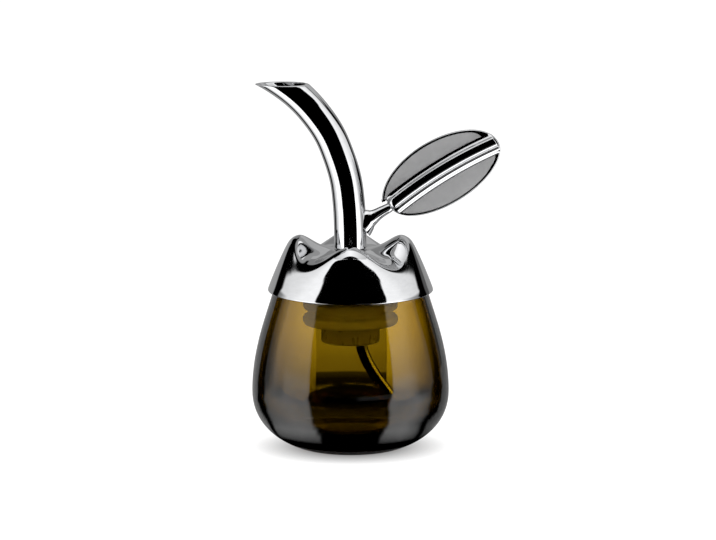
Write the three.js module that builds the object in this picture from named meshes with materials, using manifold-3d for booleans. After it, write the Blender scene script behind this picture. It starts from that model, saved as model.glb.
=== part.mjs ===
// Oil cruet: a glass vessel with a lift-off closure, which carries a curved spout and a leaf.
// Millimetres, +Z up, origin at the centre of the vessel's foot, spout towards -X, leaf towards +X.
import * as THREE from "three";
import { mergeVertices } from "three/addons/utils/BufferGeometryUtils.js";
import Module from "manifold-3d";

const wasm = await Module();
wasm.setup();

// Fits
const seatGap = 0.3;
const finGap = 0.3;
const turningGap = 0.15;
const cutOverrun = 1;

// Vessel
const footRadius = 20;
const bellyRadius = 42;
const bellyHeight = 24.5;
const shoulderRadius = 33.4;
const flankHeight = 41.5;
const bendHeight = 9;
const neckBore = 20.5;
const neckWall = 2.3;
const neckLength = 3.5;
const lipRound = 0.7;
const glassWall = 2.4;
const glassBase = 5;

// Cap
const capWall = 1.6;
const capRise = 18.2;
const capClearance = 0.3;
const capSeatThickness = 2.2;
const capSeatMargin = 0.6;
const lobeCount = 4;
const lobeDepth = 3.9;
const lobeBias = 0.75;

// Spout
const spoutFootRadius = 7;
const spoutTipRadius = 6.5;
const spoutWall = 1.1;
const spoutFootThickness = 2;
const spoutReach = 28.8;
const spoutRise = 71;
const spigotRadius = 5.6;
const spigotWall = 1.2;
const spigotLength = 14;

// Stopper
const plugStep = 1.5;
const plugHeight = 7.5;
const coreRadius = 11;
const coreLength = 36.4;
const collarStep = 3;
const collarThickness = 1.5;
const sealWall = 2.2;
const finCount = 4;
const finThickness = 4;
const finPitch = 6.5;
const finRound = 1.2;
const sealRimOverlap = 1.7;
const sealRimThickness = 1.4;
const washerClearance = 0.8;
const washerWidth = 4;
const washerThickness = 1.2;
const oilPortRadius = 3.6;
const oilPortOffset = 3.2;
const passageWall = 1;
const airGrooveDepth = 1.2;
const airGrooveWidth = 3;

// Air tube
const airTubeRadius = 2.5;
const airTubeWall = 0.8;
const airTubeInsertion = 14;
const airTubeDrop = 23.6;
const airTubeReach = 12.8;

// Leaf
const leafPitch = THREE.MathUtils.degToRad(32);
const leafOffset = 16.8;
const leafRise = 17.6;
const leafLength = 54.2;
const leafUpperOverhang = 2.4;
const leafLowerInset = 0.2;
const leafUpperWidth = 15.5;
const leafLowerWidth = 13;
const leafNotch = 3.5;
const leafThickness = 1.6;
const ribTipInset = 0.8;
const ribWidth = 10.6;
const ribDepth = 2.7;
const ribArch = 1.2;

// Stalk
const stalkTipRadius = 2.1;
const stalkRootRadius = 6.2;
const stalkRootDepth = 4.4;
const stalkRootRise = 10.4;

// Facets
const weldTolerance = 1e-4;
const vesselSides = 40;
const bellySteps = 7;
const flankSteps = 6;
const shoulderSteps = 5;
const capSides = 56;
const stopperSides = 32;
const boreSides = 16;
const spoutSides = 18;
const spoutSteps = 18;
const tubeSides = 12;
const tubeSteps = 10;
const stalkSteps = 7;
const leafSides = 18;
const ribSteps = 8;

// Places that follow from the sizes above
const shoulderHeight = bellyHeight + flankHeight;
const neckOuter = neckBore + neckWall;
const neckRoot = shoulderHeight + bendHeight;
const neckTop = neckRoot + neckLength;
const sealRimHeight = neckTop + seatGap;
const collarHeight = sealRimHeight + sealRimThickness + seatGap;
const collarRadius = coreRadius + collarStep;
const coreTop = collarHeight + collarThickness;
const plugRadius = coreRadius + plugStep;
const plugBottom = coreTop - coreLength;
const washerHeight = coreTop + seatGap;
const washerBore = spigotRadius + washerClearance;
const washerRadius = washerBore + washerWidth;
const capSeatHeight = washerHeight + washerThickness + seatGap;
const capSeatRadius = washerRadius + capSeatMargin;
const capWellHeight = capSeatHeight + capSeatThickness;
const capRimHeight = capWellHeight - capRise;
const capRadius = shoulderRadius + capClearance + capWall;
const spoutFootHeight = capWellHeight + seatGap;
const capHoleRadius = spigotRadius + seatGap;
const mouthHeight = capWellHeight + spoutRise;
const sealBottom = plugBottom + plugHeight + seatGap;
const sealBore = coreRadius + turningGap;
const airTubeTop = plugBottom + airTubeInsertion;
const airTubeOffset = oilPortRadius - oilPortOffset + passageWall + airTubeRadius + seatGap;
const leafHeight = capWellHeight + leafRise;
const stalkRootHeight = capWellHeight + stalkRootRise;

// Handles of the vessel's curves as shares of the stretch that each one shapes, and the inward lean
// of its flank at the shoulder as a share of the height.
const vesselHandleShares = { foot: 0.04, under: 0.8, over: 0.42, flank: 0.23, shoulder: 0.8 };
const shoulderLeanShare = 0.29;

// Outline of the cap as shares: radius of the rim's radius, height of the rise from rim to well,
// and depth of the lobes.
const capOutlineShares = [
  [0.283, 1.003, 0.1],
  [0.368, 1.005, 0.3],
  [0.453, 1.033, 0.58],
  [0.538, 1.063, 0.87],
  [0.609, 1.082, 1],
  [0.68, 1.041, 0.98],
  [0.745, 0.967, 0.88],
  [0.805, 0.808, 0.58],
  [0.878, 0.56, 0.32],
  [0.949, 0.275, 0.11],
  [0.989, 0.132, 0],
  [1, 0.066, 0],
];
const capCornerShares = [
  [0.997, 0.02],
  [0.986, 0],
];

// Centre line of the spout as shares of its reach and of its rise from foot to mouth.
const spoutPathShares = [
  [0, -0.06],
  [0.006, 0.14],
  [0.026, 0.28],
  [0.072, 0.42],
  [0.176, 0.563],
  [0.325, 0.704],
  [0.57, 0.845],
  [0.81, 0.944],
  [1.13, 1.038],
  [1.5, 1.12],
];

// Centre line of the air tube as shares of its reach and of its drop below the plug.
const airPathShares = [
  [0, -0.15],
  [0.04, 0.08],
  [0.2, 0.33],
  [0.51, 0.63],
  [1, 1],
];

// Centre line of the stalk, from the spout's side to the leaf, and its width along the way, as shares.
const stalkPathShares = [
  [0.28, 0],
  [0.46, 0.3],
  [0.58, 0.44],
  [0.76, 0.7],
  [0.97, 0.97],
];
const stalkWidthShares = [1, 0.62, 0.2, 0.06, 0];

// Half of a rib's section, from its hollow foot on the blade up to its crest, as shares of half the
// rib's width and of its depth.
const ribSectionShares = [
  [1, 0],
  [0.87, 0.045],
  [0.755, 0.155],
  [0.67, 0.35],
  [0.604, 0.59],
  [0.47, 0.83],
  [0.264, 0.963],
  [0, 1],
];

// A point of the model's upright plane of symmetry.
function sidePoint(x, z) {
  return new THREE.Vector3(x, 0, z);
}

// Points of a cubic curve through plane points, without its last point.
function curvePoints(a, b, c, d, steps) {
  const curve = new THREE.CubicBezierCurve(a, b, c, d);
  return curve.getPoints(steps).slice(0, steps);
}

// Keeps only positions, joins equal ones and leaves out triangles with no area.
function weld(geometry) {
  geometry.deleteAttribute("normal");
  geometry.deleteAttribute("uv");
  const merged = mergeVertices(geometry, weldTolerance);
  const corners = [];
  const index = merged.index.array;
  for (let i = 0; i < index.length; i += 3) {
    const [a, b, c] = [index[i], index[i + 1], index[i + 2]];
    if (a !== b && b !== c && c !== a) {
      corners.push(a, b, c);
    }
  }
  merged.setIndex(corners);
  return merged;
}

function solidOf(geometry) {
  const welded = weld(geometry);
  return new wasm.Manifold(new wasm.Mesh({
    numProp: 3,
    vertProperties: new Float32Array(welded.attributes.position.array),
    triVerts: new Uint32Array(welded.index.array),
  }));
}

function geometryOf(solid) {
  const mesh = solid.getMesh();
  const geometry = new THREE.BufferGeometry();
  geometry.setAttribute("position", new THREE.BufferAttribute(mesh.vertProperties, 3));
  geometry.setIndex(new THREE.BufferAttribute(mesh.triVerts, 1));
  geometry.computeVertexNormals();
  return geometry;
}

// A round solid about the Z axis, from plane points of radius and height.
function turned(points, sides) {
  const geometry = new THREE.LatheGeometry(points, sides);
  geometry.rotateX(Math.PI / 2);
  return geometry;
}

function plane(radius, height) {
  return new THREE.Vector2(radius, height);
}

// A round rod along Z between two heights.
function rod(radius, bottom, top, sides) {
  const geometry = new THREE.CylinderGeometry(radius, radius, top - bottom, sides);
  geometry.rotateX(Math.PI / 2);
  geometry.translate(0, 0, (bottom + top) / 2);
  return geometry;
}

function block(low, high) {
  const size = new THREE.Vector3().subVectors(high, low);
  const centre = new THREE.Vector3().addVectors(low, high).multiplyScalar(0.5);
  const geometry = new THREE.BoxGeometry(size.x, size.y, size.z);
  geometry.translate(centre.x, centre.y, centre.z);
  return geometry;
}

// Rings of points round a curve in the upright plane. A section point is [across, out of plane].
function ringsAlong(curve, steps, sectionAt) {
  const rings = [];
  for (let i = 0; i <= steps; i += 1) {
    const share = i / steps;
    const centre = curve.getPointAt(share);
    const along = curve.getTangentAt(share);
    const across = new THREE.Vector3(along.z, 0, -along.x);
    rings.push(sectionAt(share).map(([a, b]) => {
      const point = centre.clone().addScaledVector(across, a);
      point.y += b;
      return point;
    }));
  }
  return rings;
}

// Joins rings of equal size into a skin.
function skin(rings) {
  const corners = [];
  const sides = rings[0].length;
  for (let i = 0; i + 1 < rings.length; i += 1) {
    for (let j = 0; j < sides; j += 1) {
      const k = (j + 1) % sides;
      corners.push(rings[i][j], rings[i][k], rings[i + 1][k]);
      corners.push(rings[i][j], rings[i + 1][k], rings[i + 1][j]);
    }
  }
  return corners;
}

// Closes a ring with triangles round its first point, facing away from the next ring.
function lid(ring) {
  const corners = [];
  for (let j = 1; j + 1 < ring.length; j += 1) {
    corners.push(ring[0], ring[j + 1], ring[j]);
  }
  return corners;
}

function geometryFrom(corners) {
  const geometry = new THREE.BufferGeometry().setFromPoints(corners);
  geometry.computeVertexNormals();
  return geometry;
}

function solidAlong(curve, steps, sectionAt) {
  const rings = ringsAlong(curve, steps, sectionAt);
  const last = rings[rings.length - 1];
  return geometryFrom([...lid(rings[0]), ...skin(rings), ...lid([...last].reverse())]);
}

// A bored tube: out along the outer skin and back along the bore.
function pipeAlong(curve, steps, outerAt, boreAt) {
  const outer = ringsAlong(curve, steps, outerAt);
  const bore = ringsAlong(curve, steps, boreAt).reverse();
  return geometryFrom(skin([...outer, ...bore, outer[0]]));
}

function ovalSection(across, out, sides) {
  const section = [];
  for (let i = 0; i < sides; i += 1) {
    const angle = (2 * Math.PI * i) / sides;
    section.push([across * Math.cos(angle), out * Math.sin(angle)]);
  }
  return section;
}

function circleSection(radius, sides) {
  return ovalSection(radius, radius, sides);
}

function material(color, roughness, metalness, opacity = 1) {
  return new THREE.MeshStandardMaterial({
    color,
    roughness,
    metalness,
    opacity,
    transparent: opacity < 1,
  });
}

function chrome() {
  return material(0xd8d9dc, 0.06, 1);
}

function piece(name, geometry, finish) {
  const mesh = new THREE.Mesh(geometry, finish);
  mesh.name = name;
  return mesh;
}

// Outside or inside of the vessel from its base to the neck, drawn in by the wall.
function vesselOutline(wall, base, neck) {
  const foot = footRadius - wall;
  const belly = bellyRadius - wall;
  const shoulder = shoulderRadius - wall;
  const below = curvePoints(
    plane(foot, base),
    plane(foot + vesselHandleShares.foot * (belly - foot), base),
    plane(belly, bellyHeight - vesselHandleShares.under * (bellyHeight - base)),
    plane(belly, bellyHeight),
    bellySteps,
  );
  const handle = vesselHandleShares.flank * flankHeight;
  const above = curvePoints(
    plane(belly, bellyHeight),
    plane(belly, bellyHeight + vesselHandleShares.over * flankHeight),
    plane(shoulder + handle * shoulderLeanShare, shoulderHeight - handle),
    plane(shoulder, shoulderHeight),
    flankSteps,
  );
  const reach = vesselHandleShares.shoulder * bendHeight;
  const over = curvePoints(
    plane(shoulder, shoulderHeight),
    plane(shoulder - reach * shoulderLeanShare, shoulderHeight + reach),
    plane(neck, neckRoot - wall),
    plane(neck, neckRoot),
    shoulderSteps,
  );
  return [...below, ...above, ...over, plane(neck, neckRoot)];
}

function glassBody() {
  const outside = [plane(0, 0), ...vesselOutline(0, 0, neckOuter)];
  const inside = [...vesselOutline(glassWall, glassBase, neckBore).reverse(), plane(0, glassBase)];
  const lip = [
    plane(neckOuter, neckTop - lipRound),
    plane(neckOuter - lipRound, neckTop),
    plane(neckBore + lipRound, neckTop),
    plane(neckBore, neckTop - lipRound),
  ];
  const geometry = turned([...outside, ...lip, ...inside], vesselSides);
  return piece("glass_body", geometry, material(0x6b5a14, 0.03, 0, 0.5));
}

function stopperSeal() {
  const outer = sealBore + sealWall;
  const finRadius = neckBore - finGap;
  const points = [plane(sealBore, sealBottom)];
  for (let i = 0; i < finCount; i += 1) {
    const bottom = sealBottom + i * finPitch;
    const top = bottom + finThickness;
    points.push(plane(outer, bottom));
    points.push(plane(finRadius - finRound, bottom));
    points.push(plane(finRadius, bottom + finRound));
    points.push(plane(finRadius, top - finRound));
    points.push(plane(finRadius - finRound, top));
    points.push(plane(outer, top));
  }
  const rimRadius = neckBore + sealRimOverlap;
  points.push(plane(outer, sealRimHeight));
  points.push(plane(rimRadius, sealRimHeight));
  points.push(plane(rimRadius, sealRimHeight + sealRimThickness));
  points.push(plane(sealBore, sealRimHeight + sealRimThickness));
  points.push(plane(sealBore, sealBottom));
  return piece("stopper_seal", turned(points, stopperSides), material(0xb9ad7a, 0.35, 0, 0.7));
}

// The plug with its spigot socket, oil port and the passage that brings air to the tube.
function stopperCore() {
  const plugTop = plugBottom + plugHeight;
  const body = turned([
    plane(0, plugBottom),
    plane(plugRadius - finRound, plugBottom),
    plane(plugRadius, plugBottom + finRound),
    plane(plugRadius, plugTop),
    plane(coreRadius, plugTop),
    plane(coreRadius, collarHeight),
    plane(collarRadius, collarHeight),
    plane(collarRadius, coreTop),
    plane(0, coreTop),
  ], stopperSides);
  const socketFloor = spoutFootHeight - spigotLength - seatGap;
  const socket = rod(capHoleRadius, socketFloor, coreTop + cutOverrun, boreSides);
  const oilPort = rod(oilPortRadius, plugBottom - cutOverrun, socketFloor + cutOverrun, boreSides);
  oilPort.translate(-oilPortOffset, 0, 0);
  const channelHeight = airTubeTop + airGrooveWidth;
  const tubeSocket = rod(airTubeRadius + seatGap, plugBottom - cutOverrun, channelHeight, boreSides);
  tubeSocket.translate(airTubeOffset, 0, 0);
  const channel = block(
    new THREE.Vector3(airTubeOffset, -airGrooveWidth / 2, channelHeight - airGrooveWidth),
    new THREE.Vector3(coreRadius + cutOverrun, airGrooveWidth / 2, channelHeight),
  );
  const groove = block(
    new THREE.Vector3(coreRadius - airGrooveDepth, -airGrooveWidth / 2, channelHeight - airGrooveWidth),
    new THREE.Vector3(collarRadius + cutOverrun, airGrooveWidth / 2, coreTop + cutOverrun),
  );
  let solid = solidOf(body);
  for (const cut of [socket, oilPort, tubeSocket, channel, groove]) {
    solid = solid.subtract(solidOf(cut));
  }
  return piece("stopper_core", geometryOf(solid), material(0xc9bd86, 0.3, 0, 0.75));
}

function airTube() {
  const path = new THREE.CatmullRomCurve3(airPathShares.map(([out, down]) => (
    sidePoint(airTubeOffset + out * airTubeReach, plugBottom - down * airTubeDrop)
  )));
  path.points.unshift(sidePoint(airTubeOffset, airTubeTop));
  const outer = () => circleSection(airTubeRadius, tubeSides);
  const bore = () => circleSection(airTubeRadius - airTubeWall, tubeSides);
  return piece("air_tube", pipeAlong(path, tubeSteps, outer, bore), material(0x55565a, 0.2, 1));
}

function capWasher() {
  const top = washerHeight + washerThickness;
  const geometry = turned([
    plane(washerBore, washerHeight),
    plane(washerRadius, washerHeight),
    plane(washerRadius, top),
    plane(washerBore, top),
    plane(washerBore, washerHeight),
  ], stopperSides);
  return piece("cap_washer", geometry, material(0xb9ad7a, 0.5, 0));
}

// Points of the cap's outside as { radius, height, lobe }, from the spigot's hole to the rim.
function capOutside() {
  const ledge = spoutFootRadius + capWall / 2;
  const points = capOutlineShares.map(([out, up, lobe]) => ({
    radius: out * capRadius,
    height: capRimHeight + up * capRise,
    lobe,
  }));
  return [
    { radius: capHoleRadius, height: capWellHeight, lobe: 0 },
    { radius: ledge, height: capWellHeight, lobe: 0 },
    ...points,
  ];
}

// The outside drawn in by the wall, square to its own slope, beyond the flat seat of the washer.
function capInside(outside) {
  const inside = [];
  for (let i = 1; i + 1 < outside.length; i += 1) {
    const slope = plane(
      outside[i + 1].radius - outside[i - 1].radius,
      outside[i + 1].height - outside[i - 1].height,
    ).normalize();
    const point = {
      radius: outside[i].radius + slope.y * capWall,
      height: outside[i].height - slope.x * capWall,
      lobe: outside[i].lobe,
    };
    if (point.radius > capSeatRadius + capWall) {
      inside.push(point);
    }
  }
  return inside;
}

function capShell() {
  const outside = capOutside();
  const corner = capCornerShares.map(([out, up]) => (
    { radius: out * capRadius, height: capRimHeight + up * capRise, lobe: 0 }
  ));
  const rim = { radius: capRadius - capWall, height: capRimHeight, lobe: 0 };
  const seat = [
    { radius: capSeatRadius, height: capSeatHeight, lobe: 0 },
    { radius: capHoleRadius, height: capSeatHeight, lobe: 0 },
  ];
  const loop = [...outside, ...corner, rim, ...capInside(outside).reverse(), ...seat, outside[0]];
  loop.reverse();
  const geometry = turned(loop.map((point) => plane(point.radius, point.height)), capSides);
  const position = geometry.attributes.position;
  for (let i = 0; i < position.count; i += 1) {
    const angle = Math.atan2(position.getY(i), position.getX(i));
    const { lobe } = loop[i % loop.length];
    const wave = lobeDepth * Math.cos(lobeCount * angle) + lobeBias * Math.cos(2 * angle);
    position.setZ(i, position.getZ(i) + lobe * wave);
  }
  return piece("cap_shell", geometry, chrome());
}

function spoutCurve() {
  return new THREE.CatmullRomCurve3(spoutPathShares.map(([out, up]) => (
    sidePoint(-out * spoutReach, capWellHeight + up * spoutRise)
  )));
}

function spoutRadiusAt(share) {
  return THREE.MathUtils.lerp(spoutFootRadius, spoutTipRadius, share);
}

function pourSpout() {
  const path = spoutCurve();
  const tube = solidOf(pipeAlong(
    path,
    spoutSteps,
    (share) => circleSection(spoutRadiusAt(share), spoutSides),
    (share) => circleSection(spoutRadiusAt(share) - spoutWall, spoutSides),
  ));
  const wide = spoutReach + bellyRadius;
  const spigotBore = spigotRadius - spigotWall;
  const above = block(
    new THREE.Vector3(-wide, -wide, mouthHeight),
    new THREE.Vector3(wide, wide, mouthHeight + wide),
  );
  const below = block(
    new THREE.Vector3(-wide, -wide, spoutFootHeight - wide),
    new THREE.Vector3(wide, wide, spoutFootHeight + spoutFootThickness / 2),
  );
  const foot = turned([
    plane(spigotBore, spoutFootHeight - spigotLength),
    plane(spigotRadius, spoutFootHeight - spigotLength),
    plane(spigotRadius, spoutFootHeight),
    plane(spoutFootRadius, spoutFootHeight),
    plane(spoutFootRadius, spoutFootHeight + spoutFootThickness),
    plane(spigotBore, spoutFootHeight + spoutFootThickness),
    plane(spigotBore, spoutFootHeight - spigotLength),
  ], spoutSides);
  const solid = tube.subtract(solidOf(above)).subtract(solidOf(below)).add(solidOf(foot));
  return piece("pour_spout", geometryOf(solid), chrome());
}

function leafStalk() {
  const rise = leafRise - stalkRootRise;
  const path = new THREE.CatmullRomCurve3(stalkPathShares.map(([out, up]) => (
    sidePoint(out * leafOffset, stalkRootHeight + up * rise)
  )));
  const widthAt = (share) => {
    const place = share * (stalkWidthShares.length - 1);
    const low = Math.min(Math.floor(place), stalkWidthShares.length - 2);
    return THREE.MathUtils.lerp(stalkWidthShares[low], stalkWidthShares[low + 1], place - low);
  };
  const horn = solidAlong(path, stalkSteps, (share) => ovalSection(
    THREE.MathUtils.lerp(stalkTipRadius, stalkRootRadius, widthAt(share)),
    THREE.MathUtils.lerp(stalkTipRadius, stalkRootDepth, widthAt(share)),
    tubeSides,
  ));
  const clearance = solidAlong(
    spoutCurve(),
    spoutSteps,
    (share) => circleSection(spoutRadiusAt(share) + seatGap, spoutSides),
  );
  return piece("leaf_stalk", geometryOf(solidOf(horn).subtract(solidOf(clearance))), chrome());
}

// The leaf lies in its group's XZ plane, with its stalk end at the origin and its tip along +X.
function leafPlate(thickness) {
  const outline = new THREE.Shape();
  const upper = (leafLength + leafUpperOverhang) / 2;
  const lower = (leafLength - leafLowerInset) / 2;
  const besideStalk = Math.PI - Math.asin(leafNotch / leafUpperWidth);
  outline.absellipse(leafLength - upper, 0, upper, leafUpperWidth, 0, besideStalk, false, 0);
  outline.lineTo(leafLowerInset, leafNotch);
  outline.absellipse(leafLength - lower, 0, lower, leafLowerWidth, Math.PI, 2 * Math.PI, false, 0);
  const geometry = new THREE.ExtrudeGeometry(outline, {
    depth: thickness,
    bevelEnabled: false,
    curveSegments: leafSides,
  });
  geometry.translate(0, 0, -thickness / 2);
  geometry.rotateX(Math.PI / 2);
  return geometry;
}

function leafBlade() {
  return piece("leaf_blade", leafPlate(leafThickness), chrome());
}

// A midrib on one face of the blade, cut to the blade's outline.
function leafRib(name, side) {
  const ribLength = leafLength - ribTipInset;
  const path = new THREE.QuadraticBezierCurve3(
    sidePoint(0, 0),
    sidePoint(ribLength / 2, 2 * ribArch),
    sidePoint(ribLength, 0),
  );
  const half = ribSectionShares.map(([across, out]) => (
    [(across * ribWidth) / 2, leafThickness / 2 + out * ribDepth]
  ));
  const otherHalf = half.slice(0, -1).reverse().map(([across, out]) => [-across, out]);
  const section = [...half, ...otherHalf].map(([across, out]) => [across * side, out * side]);
  const rib = solidOf(solidAlong(path, ribSteps, () => section));
  const reach = leafPlate(leafThickness + 2 * (ribDepth + cutOverrun));
  return piece(name, geometryOf(rib.intersect(solidOf(reach))), chrome());
}

function leaf() {
  const group = new THREE.Group();
  group.position.set(leafOffset, 0, leafHeight);
  group.rotation.y = -leafPitch;
  group.add(leafBlade());
  group.add(leafRib("leaf_rib_front", -1));
  group.add(leafRib("leaf_rib_back", 1));
  return group;
}

function closure() {
  const group = new THREE.Group();
  group.add(stopperCore());
  group.add(airTube());
  group.add(capWasher());
  group.add(capShell());
  group.add(pourSpout());
  group.add(leafStalk());
  group.add(leaf());
  return group;
}

const cruet = new THREE.Group();
cruet.name = "oil_cruet";
cruet.add(glassBody());
cruet.add(stopperSeal());
cruet.add(closure());

export default cruet;
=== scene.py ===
import bisect
import math

import bmesh
import bpy
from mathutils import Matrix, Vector, noise

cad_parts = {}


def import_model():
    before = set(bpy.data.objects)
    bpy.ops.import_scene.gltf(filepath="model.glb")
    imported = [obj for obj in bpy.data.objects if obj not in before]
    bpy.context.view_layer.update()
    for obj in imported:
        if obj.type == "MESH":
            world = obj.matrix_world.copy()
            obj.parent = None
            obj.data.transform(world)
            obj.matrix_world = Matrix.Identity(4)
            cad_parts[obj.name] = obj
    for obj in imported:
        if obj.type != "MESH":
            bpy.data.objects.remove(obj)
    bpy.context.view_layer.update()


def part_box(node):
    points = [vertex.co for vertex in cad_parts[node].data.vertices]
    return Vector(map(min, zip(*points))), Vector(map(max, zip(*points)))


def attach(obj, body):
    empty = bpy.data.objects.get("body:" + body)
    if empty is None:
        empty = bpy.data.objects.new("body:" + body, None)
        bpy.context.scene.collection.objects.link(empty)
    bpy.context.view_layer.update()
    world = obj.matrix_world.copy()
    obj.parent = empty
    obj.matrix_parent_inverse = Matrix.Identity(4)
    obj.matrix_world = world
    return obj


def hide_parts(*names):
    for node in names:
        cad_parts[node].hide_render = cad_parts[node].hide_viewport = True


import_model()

# Oil cruet: fine meshes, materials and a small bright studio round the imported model.
# Metres, +Z up, camera towards -Y, spout towards -X, leaf towards +X.
MM = 0.001
WELD_DISTANCE = 1e-4 * MM

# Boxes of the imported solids
_, glass_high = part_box("glass_body")
cap_low, cap_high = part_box("cap_shell")
seal_low, seal_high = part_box("stopper_seal")
core_low, core_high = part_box("stopper_core")
_, tube_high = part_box("air_tube")
washer_low, washer_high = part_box("cap_washer")
spout_low, spout_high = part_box("pour_spout")

# Fits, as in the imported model
SEAT_GAP = 0.3 * MM
FIN_GAP = 0.3 * MM
TURNING_GAP = 0.15 * MM

# Vessel
BELLY_RADIUS = glass_high.x
NECK_TOP = glass_high.z
FOOT_RADIUS = 20 * MM
BELLY_HEIGHT = 24.5 * MM
SHOULDER_RADIUS = 33.4 * MM
FLANK_HEIGHT = 41.5 * MM
BEND_HEIGHT = 9 * MM
NECK_BORE = 20.5 * MM
NECK_WALL = 2.3 * MM
LIP_ROUND = 0.7 * MM
GLASS_WALL = 2.4 * MM
GLASS_BASE = 5 * MM
FOOT_RING_WIDTH = 2 * MM
FOOT_HOLLOW = 1.1 * MM
FLOOR_DOME = 0.9 * MM
GLASS_RIPPLE = 0.07 * MM
RIPPLE_PITCH = 14 * MM

# Cap
CAP_RADIUS = cap_high.x
CAP_RIM_HEIGHT = cap_low.z
CAP_WALL = 1.6 * MM
CAP_RISE = 18.2 * MM
CAP_SEAT_THICKNESS = 2.2 * MM
CAP_SEAT_RADIUS = 11 * MM
LOBE_COUNT = 4
LOBE_DEPTH = 3.9 * MM
LOBE_BIAS = 0.75 * MM

# Spout
MOUTH_HEIGHT = spout_high.z
SPOUT_FOOT_RADIUS = 7 * MM
SPOUT_TIP_RADIUS = 6.5 * MM
SPOUT_WALL = 1.1 * MM
SPOUT_FOOT_THICKNESS = 2 * MM
SPOUT_REACH = 28.8 * MM
SPOUT_RISE = 71 * MM
SPIGOT_RADIUS = 5.6 * MM
SPIGOT_BORE = 4.4 * MM
LIP_EDGE = 0.3 * MM

# Stopper
CORE_RADIUS = 11 * MM
COLLAR_THICKNESS = 1.5 * MM
PLUG_RADIUS = 12.5 * MM
PLUG_HEIGHT = 7.5 * MM
SEAL_WALL = 2.2 * MM
FIN_COUNT = 4
FIN_THICKNESS = 4 * MM
FIN_PITCH = 6.5 * MM
FIN_ROUND = 1.7 * MM
FIN_ROOT_ROUND = 0.8 * MM
SEAL_RIM_THICKNESS = 1.4 * MM
SEAL_RIM_ROUND_SHARE = 0.45
OIL_PORT_RADIUS = 3.6 * MM
OIL_PORT_OFFSET = 3.2 * MM
AIR_GROOVE_DEPTH = 1.2 * MM
AIR_GROOVE_WIDTH = 3 * MM
CUT_OVERRUN = 1 * MM

# Washer
WASHER_CLEARANCE = 0.8 * MM
WASHER_ROUND_SHARE = 0.4

# Air tube
AIR_TUBE_RADIUS = 2.5 * MM
AIR_TUBE_BORE = 1.7 * MM
AIR_TUBE_OFFSET = 4.2 * MM
AIR_TUBE_DROP = 23.6 * MM
AIR_TUBE_REACH = 12.8 * MM

# Leaf
LEAF_PITCH = math.radians(32)
LEAF_OFFSET = 16.8 * MM
LEAF_RISE = 17.6 * MM
LEAF_LENGTH = 54.2 * MM
LEAF_UPPER_OVERHANG = 2.4 * MM
LEAF_LOWER_INSET = 0.2 * MM
LEAF_UPPER_WIDTH = 15.5 * MM
LEAF_LOWER_WIDTH = 13 * MM
LEAF_NOTCH = 3.5 * MM
LEAF_THICKNESS = 1.6 * MM
LEAF_EDGE = 0.55 * MM
LEAF_RIM = 0.55 * MM
LEAF_TIP_RIM = 4.6 * MM
LEAF_LOWER_TIP_RIM = 0.9 * MM
LEAF_TIP_TURN = math.radians(42)
LEAF_LOWER_TIP_TURN = math.radians(75)
LEAF_TRIM = 0.02 * MM
LEAF_RECESS = 0.12 * MM
RIB_TIP_INSET = 0.8 * MM
RIB_WIDTH = 10.6 * MM
RIB_DEPTH = 2.7 * MM
RIB_ARCH = 1.9 * MM
RIB_EDGE = 0.35 * MM
RIB_ROOT_ROUND = 3.2 * MM
RIB_ROOT_SHARE = 0.3
RIB_ROOT_END = 0.0004
RIB_TRIM = 0.3 * MM

# Stalk
STALK_TIP_RADIUS = 2.1 * MM
STALK_ROOT_RADIUS = 6.2 * MM
STALK_ROOT_DEPTH = 4.4 * MM
STALK_ROOT_RISE = 10.4 * MM
STALK_SINK = 0.5 * MM
STALK_END_SHARE = 0.02

# Places that follow from the sizes above
SHOULDER_HEIGHT = BELLY_HEIGHT + FLANK_HEIGHT
NECK_ROOT = SHOULDER_HEIGHT + BEND_HEIGHT
NECK_OUTER = NECK_BORE + NECK_WALL
CAP_WELL_HEIGHT = CAP_RIM_HEIGHT + CAP_RISE
CAP_SEAT_HEIGHT = CAP_WELL_HEIGHT - CAP_SEAT_THICKNESS
CAP_HOLE_RADIUS = SPIGOT_RADIUS + SEAT_GAP
SPOUT_FOOT_HEIGHT = CAP_WELL_HEIGHT + SEAT_GAP
SEAL_BORE = CORE_RADIUS + TURNING_GAP
SEAL_OUTER = SEAL_BORE + SEAL_WALL
FIN_RADIUS = NECK_BORE - FIN_GAP
LEAF_HEIGHT = CAP_WELL_HEIGHT + LEAF_RISE
STALK_ROOT_HEIGHT = CAP_WELL_HEIGHT + STALK_ROOT_RISE

# Shares that shape the vessel's curves
VESSEL_HANDLE_SHARES = {"foot": 0.04, "under": 0.8, "over": 0.42, "flank": 0.23, "shoulder": 0.8}
SHOULDER_LEAN_SHARE = 0.29

# Cap outline: radius of the rim's radius, height of the rise from rim to well, depth of the lobes.
CAP_OUTLINE_SHARES = (
    (0.283, 1.003, 0.1), (0.368, 1.005, 0.3), (0.453, 1.033, 0.58), (0.538, 1.063, 0.87),
    (0.609, 1.082, 1), (0.68, 1.041, 0.98), (0.745, 0.967, 0.88), (0.805, 0.808, 0.58),
    (0.878, 0.56, 0.32), (0.946, 0.285, 0.11), (0.976, 0.16, 0), (0.994, 0.07, 0), (1, 0.03, 0),
)
CAP_CORNER_SHARES = ((1, 0.008), (0.991, 0))

# Centre lines as shares of reach and rise
SPOUT_PATH_SHARES = (
    (0, -0.06), (0.006, 0.14), (0.026, 0.28), (0.072, 0.42), (0.176, 0.563),
    (0.325, 0.704), (0.57, 0.845), (0.81, 0.944), (1.13, 1.038), (1.5, 1.12),
)
AIR_PATH_SHARES = ((0, -0.15), (0.04, 0.08), (0.2, 0.33), (0.51, 0.63), (1, 1))
STALK_PATH_SHARES = ((0.28, 0), (0.46, 0.3), (0.58, 0.44), (0.76, 0.7), (0.97, 0.97))
STALK_WIDTH_SHARES = (1, 0.62, 0.2, 0.06, 0)

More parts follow.
